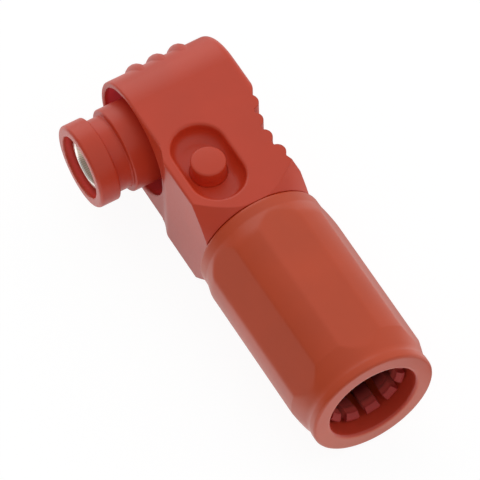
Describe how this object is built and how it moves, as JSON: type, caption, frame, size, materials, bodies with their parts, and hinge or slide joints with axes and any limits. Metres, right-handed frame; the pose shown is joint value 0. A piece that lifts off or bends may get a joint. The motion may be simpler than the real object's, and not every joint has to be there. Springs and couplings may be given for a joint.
{
  "type": "right-angle power plug connector",
  "caption": "Right-angle single-pole power plug with a touch-protected nose, a press-to-release latch button and a cable gland nut.",
  "frame": {"origin": "middle of the contact's mouth, on the mating axis", "axes": "+X into the connector along the mating axis, so the mating pin leaves along -X; the cable leaves along -Y; +Z is the side of the release button"},
  "size_m": [0.0385, 0.0965, 0.0292],
  "materials": {
    "shell_plastic": "satin moulded",
    "claw_plastic": "satin moulded",
    "seal_rubber": "matt",
    "plated_copper": "silver plated",
    "crown_alloy": "bright",
    "steel": "bright"
  },
  "bodies": {
    "connector": {"housing": "shell_plastic", "rear_cap": "shell_plastic", "cap_seal": "seal_rubber", "nose_insulator": "shell_plastic", "interface_seal": "seal_rubber", "contact_socket": "plated_copper", "contact_crown": "crown_alloy", "crown_ring": "plated_copper", "cable_lug": "plated_copper", "lug_screw": "steel", "lock_washer": "steel", "retaining_ring": "steel", "button_spring": "steel", "cable_seal": "seal_rubber", "seal_washer": "steel", "clamp_claw": "claw_plastic"},
    "release": {"release_button": "shell_plastic", "latch_plate": "steel"},
    "nut_carriage": {"nut_seal": "seal_rubber"},
    "nut": {"gland_nut": "shell_plastic"}
  },
  "joints": [
    {"name": "press_button", "type": "slide", "parent": "connector", "child": "release", "axis": [0, 0, -1], "range_m": [0, 0.0015], "stiffness_N_per_m": 600, "springref_m": -0.004, "deforming": ["button_spring"]},
    {"name": "nut_back_off", "type": "slide", "parent": "connector", "child": "nut_carriage", "axis": [0, -1, 0], "range_m": [0, 0.006]},
    {"name": "nut_turn", "type": "hinge", "parent": "nut_carriage", "child": "nut", "pos_m": [0.0215, -0.0575, 0], "axis": [0, -1, 0], "range_deg": [0, 1440]}
  ],
  "couplings": [
    {"joint": "nut_back_off", "follows": "nut_turn", "m_per_rad": 0.00023873}
  ]
}
